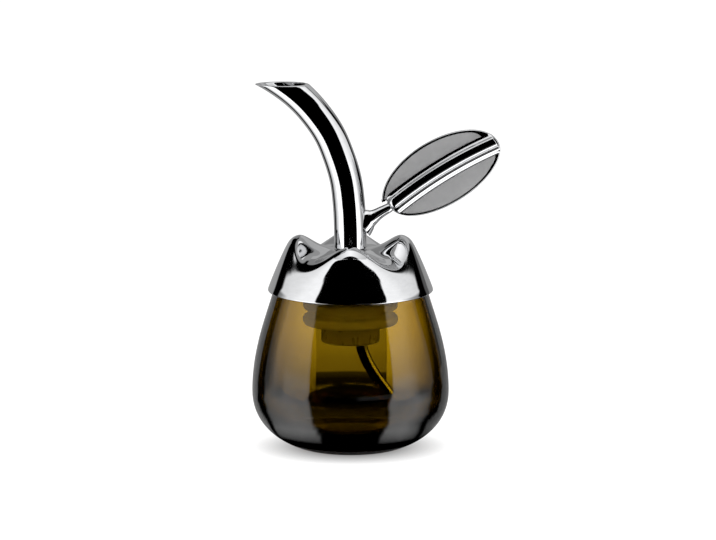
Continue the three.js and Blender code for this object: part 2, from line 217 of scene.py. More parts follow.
# A rib's section above and below its crest, from its hollow foot to the crest, as shares of half its width
# and of its depth.
RIB_UPPER_SHARES = (
    (0.93, 0), (0.9, 0.014), (0.845, 0.06), (0.775, 0.13), (0.7, 0.225), (0.64, 0.334),
    (0.585, 0.48), (0.505, 0.7), (0.44, 0.8), (0.3, 0.907), (0.15, 0.973), (0, 1),
)
RIB_LOWER_SHARES = (
    (0.93, 0), (0.86, 0.012), (0.795, 0.06), (0.72, 0.155), (0.64, 0.27), (0.56, 0.355), (0.48, 0.405),
    (0.41, 0.425), (0.345, 0.436), (0.295, 0.48), (0.26, 0.62), (0.225, 0.75), (0.18, 0.86), (0.12, 0.935),
    (0.06, 0.985), (0, 1),
)

# Facets
VESSEL_SIDES = 192
VESSEL_STEPS = 28
CAP_SIDES = 56
CAP_SUBDIVISIONS = 3
STOPPER_SIDES = 128
ROUND_STEPS = 5
SPOUT_SIDES = 72
SPOUT_STEPS = 110
TUBE_SIDES = 32
TUBE_STEPS = 70
STALK_SIDES = 48
STALK_STEPS = 44
LEAF_STEPS = 110
RIB_SIDES = 5
RIB_STEPS = 70
CURVE_SAMPLES = 60
HALVINGS = 30
SEARCH_STEPS = 300
SEARCH_END = 120

# Studio, measured from the centre of the vessel's foot
CAMERA_ELEVATION = math.radians(10.4)
CAMERA_DISTANCE = 5
CAMERA_AIM = Vector((3.2 * MM, 0, 76.5 * MM))
VIEW_WIDTH = 305.3 * MM
SENSOR_WIDTH = 36
CLIP_RANGE = (0.01, 20)
FLOOR_SIZE = 6
TENT_RADIUS = 0.45
TENT_HEIGHT = 0.62
SHEET_LIFT = 1 * MM
APRON_START = 26 * MM
CEILING_GLOW = 1.55
CEILING_FADE = 0.5
CEILING_BACK_GLOW = 0.42
CEILING_LEFT_END = 0.04
CEILING_RIGHT_END = 0.16
CEILING_STEP = -0.15
PATCH_START = 0.32
PATCH_SIDE = -0.08
ARCH_APEX = -0.32
ARCH_BEND = 0.55
TABLE_BACK_GLOWS = (0.42, 0.32)
AMBIENT = 0.35
FLOOR_GREY = 0.8
FLOOR_SEEN_GREY = 0.3
# Painted contact shadow on the floor: the darkest glow near the vessel for camera rays and for mirrors and glass,
# then the radii over which the glow fades back to full
PAINTED_FLOOR_SHADOW_DARKEST = (0.3, 0.02)
PAINTED_FLOOR_SHADOW_SEEN = (FOOT_RADIUS * 1.05, BELLY_RADIUS * 1.05)
PAINTED_FLOOR_SHADOW_MIRRORED = (BELLY_RADIUS * 0.9, BELLY_RADIUS * 1.5)
WALL_ROWS = 62
CEILING_ROWS = 45
TABLE_ROWS = 70
TABLE_SIDES = 240
INNER_ROWS = 24
INNER_SIDES = 72
INNER_CEILING_GLOW = 0.2

# Widths of the soft edges of lit and dark fields, in degrees and then in metres
SCREEN_EDGE = 2
PANEL_EDGE = 3
WEDGE_EDGE = 4
GAP_EDGE = 6
LIFT_EDGE = 8
ARCH_EDGE = 0.02
PANEL_END_EDGE = 0.03
LOW_EDGE = 0.04
PATCH_EDGE = 0.06
FAR_EDGE = 0.1
INNER_SIDE_EDGE = 0.2
NEAR_EDGE = 6 * MM

# Where the walls' sheets meet, in degrees from the camera's side
FRONT_END = 52
SIDE_END = 116
INNER_SIDE_END = 105

# Edges of the black screen in front, in degrees from the camera's side by height, left and right
SCREEN_EDGES = (
    ((0, 47), (0.13, 48), (0.2, 50), (0.38, 52), (0.4, 54), (0.415, 57), (0.435, 60), (0.48, 62),
     (0.51, 64), (0.56, 62), (0.59, 54), (0.61, 38), (0.625, 0)),
    ((0, 49), (0.06, 49), (0.1, 49.5), (0.15, 50), (0.22, 51), (0.38, 56), (0.4, 59), (0.416, 63),
     (0.457, 64), (0.477, 57), (0.506, 46), (0.58, 38), (0.61, 30), (0.625, 0)),
)

# Side lights: brightness by azimuth, shares of it that are left near the table, left and right, and where
# the lights end by height, left and right.
SIDE_GLOWS = ((46, 1.45), (61, 1.45), (75, 1.4), (90, 1.2), (104, 1.1), (118, 0.95))
LOW_SIDE_SHARES = (
    ((97, 1), (103, 0.65), (110, 0.35), (117, 0.25)),
    ((66, 1.25), (73, 1.05), (79, 0.82), (88, 0.56), (97, 0.4), (104, 0.33), (112, 0.28)),
)
LOW_SIDE_END = 0.18
FOOT_LIFT = 0.4
FOOT_LIFT_END = 0.06
FOOT_LIFT_SIDE = 82
SIDE_ENDS = (
    ((0, 117), (0.17, 118), (0.24, 114.5), (0.3, 108.5), (0.36, 105.5), (0.42, 104), (0.62, 103)),
    ((0, 110), (0.1, 108), (0.14, 106), (0.19, 115), (0.24, 114.5), (0.3, 109), (0.36, 105), (0.42, 103),
     (0.62, 103)),
)

# Panels behind: azimuths, heights and brightness, each over those before it
BACK_PANELS = (
    (-181, -134, -1, 0.31, 0.42), (-181, -150, 0.29, 1, 0.3),
    (129, 181, -1, 0.31, 0.12), (139, 181, -1, 0.31, 0.38), (133, 181, 0.29, 1, 0.58),
    (112, 134, 0.4, 1, 0.6),
)

# Table top in mirrors: on each side its brightness at the edge of the dark gap and what each degree from
# the gap adds, the ends of the black wedge in front and of the gap by distance, and a grey field far in
# front as its distance, its two ends and its brightness.
TABLE_SLOPES = ((0.5, 0.045), (0.3, 0.085))
TABLE_BRIGHTEST = 2.2
TABLE_FAR = 0.22
WEDGE_ANGLES = (
    ((0.026, 20), (0.042, 27), (0.055, 33), (0.096, 39), (0.15, 42.5), (0.2, 45), (0.3, 48), (0.45, 48)),
    ((0.026, 20), (0.042, 27), (0.055, 33), (0.096, 38), (0.15, 39.5), (0.2, 42), (0.3, 46), (0.45, 48)),
)
FAR_WEDGE = (0.28, 8, 60, 0.2)
# Distance from the vessel within which the table top fades to black: a painted contact shadow in mirrors
PAINTED_SHADOW_RADIUS = 38 * MM
GAP_STARTS = (
    ((0.047, 80), (0.071, 92), (0.13, 107), (0.37, 117)),
    ((0.048, 67), (0.071, 83), (0.14, 97), (0.37, 110)),
)
GAP_ENDS = (
    ((0.047, 91), (0.069, 108), (0.11, 123), (0.22, 131), (0.45, 135)),
    ((0.048, 77), (0.069, 101), (0.115, 115), (0.2, 127), (0.45, 129)),
)

# Lights that only things inside the glass are lit by: brightness left, right and in front
INNER_GLOWS = (4, 5)
INNER_FRONT_GLOW = 4.5
INNER_FRONT_START = 0.25
INNER_SIDE_START = 0.1
# Height of the black disc of painted shade under the foot, seen through the glass
FOOT_SHEET_LIFT = 0.1 * MM

# Backdrop seen through the glass: brightness across at its full height, from left to right, and the
# share of it that is left from its foot up, on the left, in the middle strip and on the right.
BACKDROP_PLACE = 70 * MM
BACKDROP_MIDDLE = (-16.2, 16.8)
BACKDROP_ACROSS = (
    (-60, 0), (-46, 0.02), (-41, 0.2), (-36, 0.65), (-24, 1), (-16.4, 1.1), (-16, 0.62),
    (16.6, 0.58), (17, 1.35), (24, 1.25), (34, 0.95), (41, 0.46), (47, 0.04), (60, 0),
)
BACKDROP_UP_LEFT = (
    (0, 0), (7, 0.02), (14, 0.4), (22, 0.7), (31, 1.05), (36, 1.22), (41, 1.36), (140, 1.36),
)
BACKDROP_UP_MIDDLE = (
    (0, 0), (7, 0), (15, 0.03), (18.4, 0.16), (19.2, 0.8), (25, 0.92), (30, 1.2), (140, 1.3),
)
BACKDROP_UP_RIGHT = (
    (0, 0), (7, 0.03), (10.5, 0.29), (14, 0.54), (18, 0.79), (22, 0.88), (31, 1.1), (36, 1.23),
    (41, 1.36), (140, 1.36),
)


# Curves
def bezier(a, b, c, d, steps):
    """Points of a cubic curve through plane points, without its last point."""
    points = []
    for i in range(steps):
        t = i / steps
        s = 1 - t
        weights = (s ** 3, 3 * s * s * t, 3 * s * t * t, t ** 3)
        points.append(tuple(sum(w * p[k] for w, p in zip(weights, (a, b, c, d))) for k in (0, 1)))
    return points


# Pairs of knots that each level of a smooth curve's interpolation runs between
KNOT_SPANS = (((0, 1), (1, 2), (2, 3)), ((0, 2), (1, 3)), ((1, 2),))


def smooth_curve(points, samples):
    """A smooth curve through points, with the knots a square root of each distance apart."""
    points = [Vector(p) for p in points]
    ends = [2 * points[0] - points[1]] + points + [2 * points[-1] - points[-2]]
    out = []
    for k in range(1, len(ends) - 2):
        p = ends[k - 1:k + 3]
        knots = [0]
        for i in range(3):
            knots.append(knots[-1] + math.sqrt((p[i + 1] - p[i]).length))
        for i in range(samples):
            t = knots[1] + (knots[2] - knots[1]) * i / samples
            level = p
            for spans in KNOT_SPANS:
                level = [
                    level[j].lerp(level[j + 1], (t - knots[low]) / (knots[high] - knots[low]))
                    for j, (low, high) in enumerate(spans)
                ]
            out.append(level[0])
    return out + [points[-1]]


def plane_curve(table, samples):
    """A smooth curve through a table of pairs."""
    return smooth_curve([Vector((a, b, 0)) for a, b in table], samples)


class Path:
    """A curve in the upright plane, read by its share of length."""

    def __init__(self, points):
        self.points = points
        self.lengths = [0]
        for a, b in zip(points, points[1:]):
            self.lengths.append(self.lengths[-1] + (b - a).length)

    def at(self, share):
        """The point and the direction of travel at a share of the length."""
        place = share * self.lengths[-1]
        low = min(bisect.bisect_right(self.lengths, place), len(self.lengths) - 1) - 1
        a, b = self.points[low], self.points[low + 1]
        part = (place - self.lengths[low]) / (self.lengths[low + 1] - self.lengths[low])
        before = self.points[max(low - 1, 0)]
        after = self.points[min(low + 2, len(self.points) - 1)]
        along = (b - before).normalized().lerp((after - a).normalized(), part).normalized()
        return a.lerp(b, part), along


def ring_at(path, share, section):
    """The section's points [across, out of plane], set square to the path at a share of it."""
    centre, along = path.at(share)
    across = Vector((along.z, 0, -along.x))
    return [centre + across * a + Vector((0, b, 0)) for a, b in section]


def circle(radius, sides):
    """Points of a circle."""
    turns = (2 * math.pi * i / sides for i in range(sides))
    return [(radius * math.cos(turn), radius * math.sin(turn)) for turn in turns]


def ease(value):
    """Zero below 0, one above 1 and smooth between."""
    value = min(max(value, 0), 1)
    return value * value * (3 - 2 * value)


def round_outline(points, radii):
    """A closed plane outline with each corner rounded by its own radius, or kept where that is 0."""
    corners = [Vector(point) for point in points]
    out = []
    for i, corner in enumerate(corners):
        if not radii[i]:
            out.append(points[i])
            continue
        start, end = (
            corner + (other - corner).normalized() * radii[i]
            for other in (corners[i - 1], corners[(i + 1) % len(corners)])
        )
        for k in range(ROUND_STEPS + 1):
            t = k / ROUND_STEPS
            out.append(tuple(start.lerp(corner, t).lerp(corner.lerp(end, t), t)))
    return out


# Meshes
def new_thing(name, shape):
    """An object with a plain mesh of points and faces, put in the scene."""
    points, faces = shape
    mesh = bpy.data.meshes.new(name)
    mesh.from_pydata([tuple(p) for p in points], [], faces)
    thing = bpy.data.objects.new(name, mesh)
    bpy.context.collection.objects.link(thing)
    return thing


def mesh_piece(name, shape, materials, body, node):
    """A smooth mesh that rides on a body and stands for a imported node."""
    piece = new_thing(name, shape)
    mesh = piece.data
    work = bmesh.new()
    work.from_mesh(mesh)
    bmesh.ops.remove_doubles(work, verts=work.verts, dist=WELD_DISTANCE)
    bmesh.ops.dissolve_degenerate(work, edges=work.edges, dist=WELD_DISTANCE)
    bmesh.ops.recalc_face_normals(work, faces=work.faces)
    for face in work.faces:
        face.smooth = True
    work.to_mesh(mesh)
    work.free()
    for material in materials:
        mesh.materials.append(material)
    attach(piece, body)
    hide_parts(node)
    return piece


def skin(rings, closed):
    """Points and faces that join rings of equal size, and the last to the first if closed."""
    sides = len(rings[0])
    points = [p for ring in rings for p in ring]
    faces = []
    count = len(rings)
    for i in range(count if closed else count - 1):
        low, high = i * sides, (i + 1) % count * sides
        for j in range(sides):
            k = (j + 1) % sides
            faces.append((low + j, low + k, high + k, high + j))
    return points, faces


def capped(rings):
    """A skin whose first and last rings are filled."""
    points, faces = skin(rings, False)
    sides = len(rings[0])
    faces.append(tuple(range(sides)))
    faces.append(tuple(range(len(points) - sides, len(points))))
    return points, faces


def level_ring(radius, height, sides, x=0):
    """A level ring about an upright line."""
    return [Vector((x + a, b, height)) for a, b in circle(radius, sides)]


def turned(profile, sides):
    """A closed skin about the Z axis, from plane points of radius and height."""
    return skin([level_ring(radius, height, sides) for radius, height in profile], True)


def sharpen(piece, degrees):
    """Marks edges that turn by more than an angle as sharp, so that flats stay flat."""
    piece.data.set_sharp_from_angle(angle=math.radians(degrees))


# Materials
class Nodes:
    """A node tree in the making."""

    def __init__(self, owner, output):
        owner.use_nodes = True
        self.tree = owner.node_tree
        self.tree.nodes.clear()
        self.output = self.add(output)

    def add(self, kind, inputs=(), **settings):
        """A node with its settings, and with sockets given as numbers, colours or links."""
        node = self.tree.nodes.new(kind)
        for key, value in settings.items():
            setattr(node, key, value)
        for key, value in dict(inputs).items():
            if isinstance(value, bpy.types.NodeSocket):
                self.link(value, node.inputs[key])
            else:
                node.inputs[key].default_value = value
        return node

    def link(self, source, target):
        self.tree.links.new(source, target)

    def show(self, unseen, seen):
        """Shows one shader to camera, mirror and see-through rays and another to the rest."""
        rays = self.add("ShaderNodeLightPath")
        total = rays.outputs["Is Camera Ray"]
        for name in ("Is Glossy Ray", "Is Transmission Ray"):
            most = self.add("ShaderNodeMath", {0: total, 1: rays.outputs[name]}, operation="MAXIMUM")
            total = most.outputs["Value"]
        mix = self.add("ShaderNodeMixShader", {0: total, 1: unseen, 2: seen})
        self.link(mix.outputs["Shader"], self.output.inputs["Surface"])


class Finish(Nodes):
    """A procedural material in the making."""

    def __init__(self, name):
        self.material = bpy.data.materials.new(name)
        super().__init__(self.material, "ShaderNodeOutputMaterial")
        self.place = self.add("ShaderNodeTexCoord").outputs["Object"]

    def noise(self, size, detail=3, roughness=0.5, stretch=(1, 1, 1)):
        """Noise whose features are about size metres across."""
        mapping = self.add("ShaderNodeMapping", {"Scale": stretch, "Vector": self.place})
        node = self.add("ShaderNodeTexNoise", {
            "Scale": 1 / size, "Detail": detail, "Roughness": roughness,
            "Vector": mapping.outputs["Vector"],
        })
        return node.outputs["Fac"]

    def between(self, source, low, high, start=0.3, end=0.7):
        """A value that follows a source between two levels."""
        node = self.add("ShaderNodeMapRange", {
            "From Min": start, "From Max": end, "To Min": low, "To Max": high, "Value": source,
        })
        return node.outputs["Result"]

    def colours(self, source, dark, light, start=0.3, end=0.7):
        """A colour that follows a source between two colours."""
        ramp = self.add("ShaderNodeValToRGB", {"Fac": source})
        for element, place, colour in zip(ramp.color_ramp.elements, (start, end), (dark, light)):
            element.position = place
            element.color = (*colour, 1)
        return ramp.outputs["Color"]

    def bump(self, source, height):
        """Relief of a given height in metres."""
        return self.add("ShaderNodeBump", {"Distance": height, "Height": source}).outputs["Normal"]

    def surface(self, **sockets):
        """A Principled shader whose sockets are given as numbers, colours or links."""
        named = {name.replace("_", " "): value for name, value in sockets.items()}
        shader = self.add("ShaderNodeBsdfPrincipled", named)
        self.link(shader.outputs["BSDF"], self.output.inputs["Surface"])


def amber_glass():
    finish = Finish("amber_glass")
    smudges = finish.noise(9 * MM, 4, 0.6)
    waves = finish.noise(16 * MM, 1)
    finish.surface(
        Base_Color=(1, 1, 1, 1),
        Roughness=finish.between(smudges, 0, 0.02, 0.45, 0.75),
        IOR=1.5,
        Transmission_Weight=1,
        Normal=finish.bump(waves, 0.012 * MM),
    )
    tint = finish.add("ShaderNodeVolumeAbsorption", {"Color": (0.776, 0.685, 0.04, 1), "Density": 1250})
    finish.link(tint.outputs["Volume"], finish.output.inputs["Volume"])
    return finish.material


def metal(name, base, dark, light, metallic, rough, roughness, relief, height):
    """A metal from three noises: for its colour, its roughness and its relief."""
    finish = Finish(name)
    finish.surface(
        Base_Color=finish.colours(finish.noise(*base), dark, light),
        Metallic=metallic,
        Roughness=finish.between(finish.noise(*rough), *roughness),
        Normal=finish.bump(finish.noise(*relief), height),
    )
    return finish.material


def plastic(name, dark, light, cloud, fine, roughness, index, clear, height):
    """A translucent plastic from two noises: for its colour, and for its roughness and relief."""
    finish = Finish(name)
    fine = finish.noise(*fine)
    finish.surface(
        Base_Color=finish.colours(finish.noise(cloud, 3), dark, light),
        Roughness=finish.between(fine, *roughness),
        IOR=index,
        Transmission_Weight=clear,
        Normal=finish.bump(fine, height),
    )
    return finish.material


def chrome():
    """Polished plating with faint wipes, hairlines and waves."""
    return metal(
        "chrome", (5 * MM, 5, 0.65, (1, 1, 3)), (0.6, 0.605, 0.615), (0.65, 0.655, 0.665), 1,
        (0.35 * MM, 2, 0.5, (1, 1, 0.08)), (0.025, 0.06), (7 * MM, 2), 0.008 * MM,
    )


def satin_metal():
    grain = (0.25 * MM, 4, 0.7)
    return metal(
        "satin_metal", (6 * MM, 3), (0.66, 0.66, 0.665), (0.74, 0.74, 0.745), 0.4,
        grain, (0.5, 0.62), grain, 0.012 * MM,
    )


def tube_steel():
    """Dark steel with drawing marks along it."""
    draw = (0.5 * MM, 3, 0.6, (1, 1, 0.1))
    return metal(
        "tube_steel", draw, (0.2, 0.2, 0.205), (0.28, 0.28, 0.285), 1, draw, (0.06, 0.14), draw, 0.004 * MM
    )


def seal_plastic():
    return plastic(
        "seal_plastic", (0.86, 0.85, 0.76), (0.93, 0.92, 0.85), 4 * MM,
        (0.4 * MM, 3, 0.6), (0.38, 0.5), 1.43, 0.4, 0.03 * MM,
    )


def plug_plastic():
    return plastic(
        "plug_plastic", (0.6, 0.59, 0.53), (0.65, 0.64, 0.58), 6 * MM,
        (2.5 * MM, 2, 0.5, (1, 1, 0.4)), (0.25, 0.36), 1.49, 0.35, 0.01 * MM,
    )


# Vessel
def vessel_outline(wall, base, neck):
    """Outside or inside of the vessel from its base to the neck, drawn in by the wall."""
    share = VESSEL_HANDLE_SHARES
    foot, belly, shoulder = FOOT_RADIUS - wall, BELLY_RADIUS - wall, SHOULDER_RADIUS - wall
    handle = share["flank"] * FLANK_HEIGHT
    reach = share["shoulder"] * BEND_HEIGHT
    curves = (
        (
            (foot, base), (foot + share["foot"] * (belly - foot), base),
            (belly, BELLY_HEIGHT - share["under"] * (BELLY_HEIGHT - base)), (belly, BELLY_HEIGHT),
        ),
        (
            (belly, BELLY_HEIGHT), (belly, BELLY_HEIGHT + share["over"] * FLANK_HEIGHT),
            (shoulder + handle * SHOULDER_LEAN_SHARE, SHOULDER_HEIGHT - handle),
            (shoulder, SHOULDER_HEIGHT),
        ),
        (
            (shoulder, SHOULDER_HEIGHT), (shoulder - reach * SHOULDER_LEAN_SHARE, SHOULDER_HEIGHT + reach),
            (neck, NECK_ROOT - wall), (neck, NECK_ROOT),
        ),
    )
    return [point for curve in curves for point in bezier(*curve, VESSEL_STEPS)] + [(neck, NECK_ROOT)]


def glass_body(material):
    """The blown vessel: a hollowed foot, a domed floor and walls with a slight ripple inside."""
    ring = FOOT_RADIUS - FOOT_RING_WIDTH
    foot = bezier((0, FOOT_HOLLOW), (ring / 2, FOOT_HOLLOW), (ring * 0.9, 0), (ring, 0), VESSEL_STEPS)
    outside = foot + vessel_outline(0, 0, NECK_OUTER)
    lip = round_outline(
        [(NECK_OUTER, NECK_TOP), (NECK_BORE, NECK_TOP), (NECK_BORE, NECK_ROOT), (NECK_OUTER, NECK_ROOT)],
        (LIP_ROUND, LIP_ROUND, 0, 0),
    )[:2 * ROUND_STEPS + 2]
    inner = vessel_outline(GLASS_WALL, GLASS_BASE, NECK_BORE)
    dome = GLASS_BASE + FLOOR_DOME
    floor = bezier(
        (FOOT_RADIUS - GLASS_WALL, GLASS_BASE), (FOOT_RADIUS / 2, GLASS_BASE), (FOOT_RADIUS / 4, dome),
        (0, dome), VESSEL_STEPS,
    )
    inside = inner[::-1][:-1] + floor + [(0, dome)]
    points, faces = turned(outside + lip + inside, VESSEL_SIDES)
    first_inside = (len(outside) + len(lip)) * VESSEL_SIDES
    for point in points[first_inside:]:
        flat = Vector((point.x, point.y, 0))
        if flat.length > FOOT_RADIUS and point.z < SHOULDER_HEIGHT:
            wave = noise.noise(point / RIPPLE_PITCH)
            point += flat.normalized() * wave * GLASS_RIPPLE
    # The skin's last ring and first ring both lie on the axis, where no face is wanted.
    faces = [face for face in faces if max(face) - min(face) < 3 * VESSEL_SIDES]
    return mesh_piece("glass_vessel", (points, faces), [material], "vessel", "glass_body")


# Stopper
def stopper_seal(material):
    """The soft sleeve with its rounded ring fins and its rim."""
    points = [(SEAL_BORE, seal_low.z)]
    radii = [FIN_ROOT_ROUND / 2]
    for i in range(FIN_COUNT):
        bottom = seal_low.z + i * FIN_PITCH
        top = bottom + FIN_THICKNESS
        if i:
            points.append((SEAL_OUTER, bottom))
            radii.append(FIN_ROOT_ROUND)
        points += [(FIN_RADIUS, bottom), (FIN_RADIUS, top), (SEAL_OUTER, top)]
        radii += [FIN_ROUND, FIN_ROUND, FIN_ROOT_ROUND]
    rim_bottom = seal_high.z - SEAL_RIM_THICKNESS
    half = SEAL_RIM_THICKNESS * SEAL_RIM_ROUND_SHARE
    points += [(SEAL_OUTER, rim_bottom), (seal_high.x, rim_bottom)]
    points += [(seal_high.x, seal_high.z), (SEAL_BORE, seal_high.z)]
    radii += [FIN_ROOT_ROUND, half, half, half]
    shape = turned(round_outline(points, radii), STOPPER_SIDES)
    return mesh_piece("seal_sleeve", shape, [material], "seal", "stopper_seal")


def cutter(name, shape):
    """A tool for one cut, which is removed after it."""
    tool = new_thing(name, shape)
    work = bmesh.new()
    work.from_mesh(tool.data)
    bmesh.ops.recalc_face_normals(work, faces=work.faces)
    work.to_mesh(tool.data)
    work.free()
    return tool


def rod(radius, low, high, x):
    """Points and faces of a round rod along Z."""
    return capped([level_ring(radius, z, STOPPER_SIDES // 2, x) for z in (low, high)])


def block(low, high):
    """Points and faces of a block between two corners."""
    rings = []
    for z in (low[2], high[2]):
        corners = ((low[0], low[1]), (high[0], low[1]), (high[0], high[1]), (low[0], high[1]))
        rings.append([Vector((x, y, z)) for x, y in corners])
    return capped(rings)


def cut_away(piece, tools):
    """Cuts tools out of a piece and removes them."""
    for tool in tools:
        cut = piece.modifiers.new("cut", "BOOLEAN")
        cut.operation = "DIFFERENCE"
        cut.solver = "EXACT"
        cut.object = tool
    graph = bpy.context.evaluated_depsgraph_get()
    graph.update()
    result = bpy.data.meshes.new_from_object(piece.evaluated_get(graph))
    piece.modifiers.clear()
    piece.data = result
    for tool in tools:
        bpy.data.objects.remove(tool)


def stopper_core(material):
    """The plug with its spigot socket, oil port and the passage that brings air to the tube."""
    collar_height = core_high.z - COLLAR_THICKNESS
    plug_top = core_low.z + PLUG_HEIGHT
    collar_radius = core_high.y
    edge = COLLAR_THICKNESS / 4
    points = [
        (0, core_low.z), (PLUG_RADIUS, core_low.z), (PLUG_RADIUS, plug_top), (CORE_RADIUS, plug_top),
        (CORE_RADIUS, collar_height), (collar_radius, collar_height), (collar_radius, core_high.z),
        (0, core_high.z),
    ]
    outline = round_outline(points, (0, FIN_ROUND / 2, edge, edge, edge, edge, edge, 0))
    shape = turned(outline, STOPPER_SIDES)
    piece = mesh_piece("stopper_plug", shape, [material], "closure", "stopper_core")
    socket_floor = spout_low.z - SEAT_GAP
    tube_top = tube_high.z
    groove_high = tube_top + AIR_GROOVE_WIDTH
    half = AIR_GROOVE_WIDTH / 2
    over = CUT_OVERRUN
    bottom, top = core_low.z - over, core_high.z + over
    tools = [
        cutter("cut_socket", rod(CAP_HOLE_RADIUS, socket_floor, top, 0)),
        cutter("cut_port", rod(OIL_PORT_RADIUS, bottom, socket_floor + over, -OIL_PORT_OFFSET)),
        cutter("cut_tube", rod(AIR_TUBE_RADIUS + SEAT_GAP, bottom, groove_high, AIR_TUBE_OFFSET)),
        cutter("cut_channel", block((AIR_TUBE_OFFSET, -half, tube_top), (CORE_RADIUS + over, half, groove_high))),
        cutter("cut_groove", block(
            (CORE_RADIUS - AIR_GROOVE_DEPTH, -half, tube_top), (collar_radius + over, half, top)
        )),
    ]
    cut_away(piece, tools)
    sharpen(piece, 35)
    return piece


def air_tube(material):
    """The bent tube with softened ends."""
    bend = [
        Vector((AIR_TUBE_OFFSET + out * AIR_TUBE_REACH, 0, core_low.z - down * AIR_TUBE_DROP))
        for out, down in AIR_PATH_SHARES
    ]
    path = Path(smooth_curve([Vector((AIR_TUBE_OFFSET, 0, tube_high.z))] + bend, CURVE_SAMPLES))
    edge = (AIR_TUBE_RADIUS - AIR_TUBE_BORE) / 3
    step = edge / path.lengths[-1]
    outer, bore = AIR_TUBE_RADIUS, AIR_TUBE_BORE
    stations = [(0, outer - edge), (step, outer)]
    stations += [(i / TUBE_STEPS, outer) for i in range(1, TUBE_STEPS)]
    stations += [(1 - step, outer), (1, outer - edge), (1, bore + edge), (1 - step, bore)]
    stations += [(i / TUBE_STEPS, bore) for i in range(TUBE_STEPS - 1, 0, -1)]
    stations += [(step, bore), (0, bore + edge)]
    rings = [ring_at(path, share, circle(radius, TUBE_SIDES)) for share, radius in stations]
    shape = skin(rings, True)
    return mesh_piece("vent_tube", shape, [material], "closure", "air_tube")


def cap_washer(material):
    """The soft washer with rounded edges."""
    bore = SPIGOT_RADIUS + WASHER_CLEARANCE
    low, high = washer_low.z, washer_high.z
    edge = (high - low) * WASHER_ROUND_SHARE
    outline = round_outline(
        [(bore, low), (washer_high.x, low), (washer_high.x, high), (bore, high)], (edge,) * 4
    )
    shape = turned(outline, STOPPER_SIDES)
    return mesh_piece("soft_washer", shape, [material], "closure", "cap_washer")


# Cap
def cap_outside():
    """Rows of the cap's outside as (radius, height, lobe), from the spigot's hole to the rim."""
    ledge = SPOUT_FOOT_RADIUS + CAP_WALL / 2
    rows = [
        (out * CAP_RADIUS, CAP_RIM_HEIGHT + up * CAP_RISE, lobe) for out, up, lobe in CAP_OUTLINE_SHARES
    ]
    return [(CAP_HOLE_RADIUS, CAP_WELL_HEIGHT, 0), (ledge, CAP_WELL_HEIGHT, 0)] + rows


def cap_inside(outside):
    """The outside drawn in by the wall, square to its own slope, beyond the washer's seat."""
    rows = []
    for before, row, after in zip(outside, outside[1:], outside[2:]):
        slope = Vector((after[0] - before[0], after[1] - before[1])).normalized()
        radius = row[0] + slope.y * CAP_WALL
        if radius > CAP_SEAT_RADIUS + CAP_WALL:
            rows.append((radius, row[1] - slope.x * CAP_WALL, row[2]))
    return rows


def cap_shell(material):
    """The polished cap, a cage of rows round the axis under subdivision."""
    outside = cap_outside()
    corner = [(out * CAP_RADIUS, CAP_RIM_HEIGHT + up * CAP_RISE, 0) for out, up in CAP_CORNER_SHARES]
    rim = (CAP_RADIUS - CAP_WALL, CAP_RIM_HEIGHT, 0)
    seat = [(CAP_SEAT_RADIUS, CAP_SEAT_HEIGHT, 0), (CAP_HOLE_RADIUS, CAP_SEAT_HEIGHT, 0)]
    rows = outside + corner + [rim] + cap_inside(outside)[::-1] + seat
    rings = []
    for radius, height, lobe in rows:
        ring = []
        for x, y in circle(radius, CAP_SIDES):
            angle = math.atan2(y, x)
            wave = LOBE_DEPTH * math.cos(LOBE_COUNT * angle) + LOBE_BIAS * math.cos(2 * angle)
            ring.append(Vector((x, y, height + lobe * wave)))
        rings.append(ring)
    shape = skin(rings, True)
    piece = mesh_piece("lobed_cap", shape, [material], "closure", "cap_shell")
    rounding = piece.modifiers.new("rounding", "SUBSURF")
    rounding.levels = rounding.render_levels = CAP_SUBDIVISIONS
    return piece


# Spout
def spout_path():
    points = [
        Vector((-out * SPOUT_REACH, 0, CAP_WELL_HEIGHT + up * SPOUT_RISE)) for out, up in SPOUT_PATH_SHARES
    ]
    return Path(smooth_curve(points, CURVE_SAMPLES))


def spout_radius(share):
    return blend(SPOUT_FOOT_RADIUS, SPOUT_TIP_RADIUS, share)


def line_point(path, share, turn, inset):
    """The point of the spout's outside, or of a skin an inset inside it, at a share and a turn."""
    radius = spout_radius(share) - inset
    return ring_at(path, share, [(radius * math.cos(turn), radius * math.sin(turn))])[0]


def share_at_height(path, turn, inset, height):
    """Where a line along the spout reaches a height, found by halving."""
    low, high = 0, 1
    for _ in range(HALVINGS):
        middle = (low + high) / 2
        if line_point(path, middle, turn, inset).z < height:
            low = middle
        else:
            high = middle
    return low


def spout_rings(path, inset, bottom, top, steps):
    """Rings of one skin of the spout between two level cuts."""
    lines = []
    for j in range(SPOUT_SIDES):
        turn = 2 * math.pi * j / SPOUT_SIDES
        start = share_at_height(path, turn, inset, bottom)
        end = share_at_height(path, turn, inset, top)
        shares = (start + (end - start) * i / steps for i in range(steps + 1))
        lines.append([line_point(path, share, turn, inset) for share in shares])
    return [list(ring) for ring in zip(*lines)]


